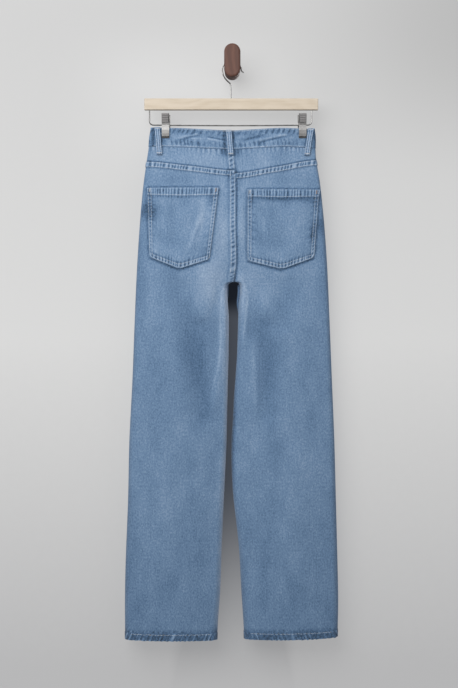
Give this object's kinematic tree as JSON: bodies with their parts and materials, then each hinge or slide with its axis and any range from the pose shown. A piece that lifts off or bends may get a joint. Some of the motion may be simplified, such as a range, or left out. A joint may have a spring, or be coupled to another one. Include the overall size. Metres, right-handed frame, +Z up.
{
  "type": "wide leg jeans on a clip hanger and wall peg",
  "caption": "Wide leg denim jeans hung flat by the waist from a wooden clip hanger, whose wire hook rests on a round wooden wall peg; legs open at the hem.",
  "frame": {"origin": "middle of the peg's round back face, which lies flat on the wall", "axes": "+Y into the wall, -Y into the room, which the back of the jeans faces; +X to the right seen from the room; +Z up"},
  "size_m": [0.4484, 0.072, 1.247],
  "materials": {
    "denim": "light stone-washed cotton denim, twill weave with slubs and faded seams",
    "zip_tape": "woven cotton tape",
    "button_metal": "tumbled shank button",
    "pale_wood": "pale softwood, fine straight grain, matt lacquer",
    "dark_wood": "oiled walnut, satin",
    "steel": "bright nickel plate",
    "rubber": "matt grip pad"
  },
  "bodies": {
    "root": {"waistband": "denim", "yoke_left": "denim", "yoke_right": "denim", "back_left": "denim", "back_right": "denim", "back_pocket_left": "denim", "back_pocket_right": "denim", "front_left": "denim", "front_right": "denim", "pocket_facing_left": "denim", "pocket_facing_right": "denim", "fly_facing": "denim", "fly_shield": "denim", "zip": "zip_tape", "belt_loop_back": "denim", "belt_loop_side_left": "denim", "belt_loop_side_right": "denim", "belt_loop_front_left": "denim", "belt_loop_front_right": "denim", "button": "button_metal", "hanger_bar": "pale_wood", "hanger_wire": "steel", "hanger_hook": "steel", "clip_left_back": "steel", "clip_left_front": "steel", "clip_left_back_pad": "rubber", "clip_left_front_pad": "rubber", "clip_left_spring": "steel", "clip_right_back": "steel", "clip_right_front": "steel", "clip_right_back_pad": "rubber", "clip_right_front_pad": "rubber", "clip_right_spring": "steel", "peg_neck": "dark_wood", "peg_plate": "dark_wood"}
  },
  "joints": []
}
